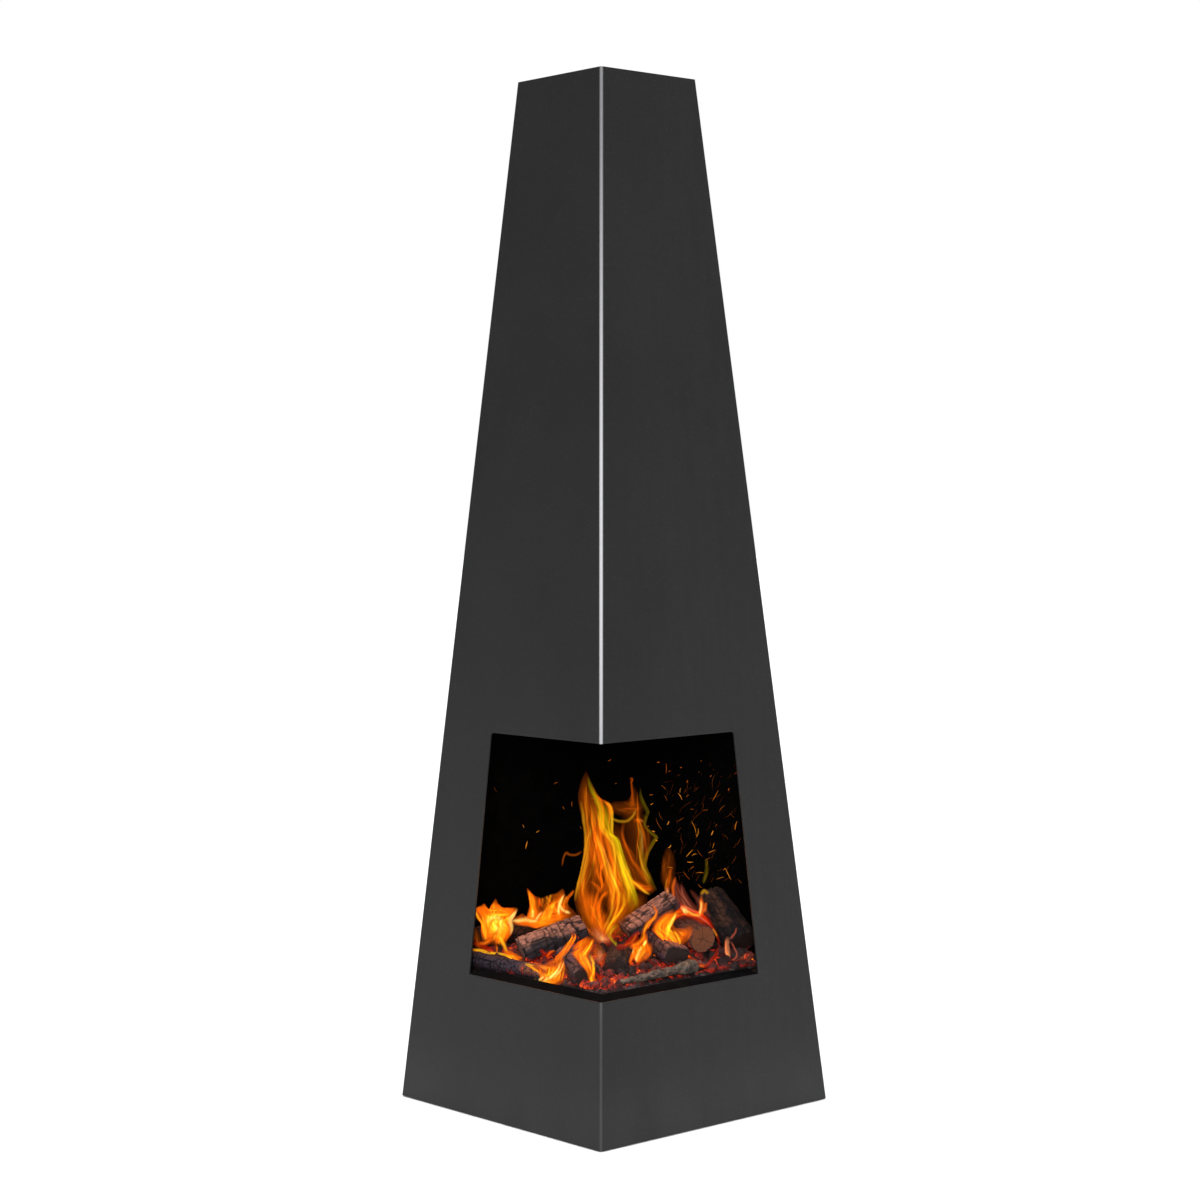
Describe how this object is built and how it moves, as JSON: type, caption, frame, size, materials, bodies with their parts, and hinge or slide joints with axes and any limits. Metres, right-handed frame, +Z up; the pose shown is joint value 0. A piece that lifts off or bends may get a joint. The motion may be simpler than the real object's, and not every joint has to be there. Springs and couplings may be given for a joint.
{
  "type": "chiminea",
  "caption": "Tall square tapering steel chiminea standing corner-on, with a fire opening wrapped round its front corner, lift-out grate and ash tray, and levelling feet.",
  "frame": {"origin": "on the ground, at the centre of the square base", "axes": "+Z up; the front corner fold with the fire opening faces -Y; the two side folds lie on -X and +X"},
  "size_m": [0.4624, 0.4624, 1.1],
  "materials": {
    "black_powder_coat": "satin black powder coat, fine texture",
    "zinc_plated_steel": "zinc plated, heat dulled",
    "black_nylon": "matt moulded",
    "sooted_steel": "matt, sooted",
    "tray_steel": "matt, ash-dusted",
    "grate_iron": "rough, scaled",
    "charred_wood": "charred, cracked",
    "burnt_brown_wood": "part-burnt, matt",
    "ash_grey_wood": "ash-covered, matt",
    "embers": "glowing embers and ash"
  },
  "bodies": {
    "chimney_body": {"base_frame": "sooted_steel", "base_nuts": "zinc_plated_steel", "base_screws": "zinc_plated_steel", "base_spacers": "sooted_steel", "foot_nuts": "zinc_plated_steel", "front_shell": "black_powder_coat", "hearth_bracket_front_left": "sooted_steel", "hearth_bracket_front_right": "sooted_steel", "hearth_bracket_rear_left": "sooted_steel", "hearth_bracket_rear_right": "sooted_steel", "hearth_nuts": "zinc_plated_steel", "hearth_plate": "sooted_steel", "hearth_screws": "zinc_plated_steel", "rear_shell": "black_powder_coat", "seam_nuts_left": "zinc_plated_steel", "seam_nuts_right": "zinc_plated_steel", "seam_screws_left": "zinc_plated_steel", "seam_screws_right": "zinc_plated_steel", "seam_strip_left": "black_powder_coat", "seam_strip_right": "black_powder_coat", "sill_strip_left": "black_powder_coat", "sill_strip_right": "black_powder_coat", "top_collar": "black_powder_coat"},
    "ash_tray": {"ash_tray": "tray_steel"},
    "fire_grate": {"grate_frame": "grate_iron", "grate_bars": "grate_iron", "grate_legs": "grate_iron", "ember_bed": "embers", "log_split_left": "charred_wood", "log_split_right": "charred_wood", "stick_front_left": "charred_wood", "log_charred_left": "charred_wood", "log_charred_right": "charred_wood", "branch_ash_grey": "ash_grey_wood", "log_centre": "burnt_brown_wood", "log_round_right": "burnt_brown_wood", "log_leaning_right": "burnt_brown_wood", "log_rear_left": "burnt_brown_wood"},
    "foot_front": {"foot_pad_front": "black_nylon", "foot_stud_front": "zinc_plated_steel"},
    "foot_right": {"foot_pad_right": "black_nylon", "foot_stud_right": "zinc_plated_steel"},
    "foot_rear": {"foot_pad_rear": "black_nylon", "foot_stud_rear": "zinc_plated_steel"},
    "foot_left": {"foot_pad_left": "black_nylon", "foot_stud_left": "zinc_plated_steel"}
  },
  "joints": [
    {"name": "tray_lift", "type": "slide", "parent": "chimney_body", "child": "ash_tray", "axis": [0, 0, 1], "range_m": [0, 0.045]},
    {"name": "grate_lift", "type": "slide", "parent": "ash_tray", "child": "fire_grate", "axis": [0, 0, 1], "range_m": [0, 0.05]},
    {"name": "foot_front_adjust", "type": "slide", "parent": "chimney_body", "child": "foot_front", "axis": [0, 0, -1], "range_m": [0, 0.012]},
    {"name": "foot_right_adjust", "type": "slide", "parent": "chimney_body", "child": "foot_right", "axis": [0, 0, -1], "range_m": [0, 0.012]},
    {"name": "foot_rear_adjust", "type": "slide", "parent": "chimney_body", "child": "foot_rear", "axis": [0, 0, -1], "range_m": [0, 0.012]},
    {"name": "foot_left_adjust", "type": "slide", "parent": "chimney_body", "child": "foot_left", "axis": [0, 0, -1], "range_m": [0, 0.012]}
  ]
}
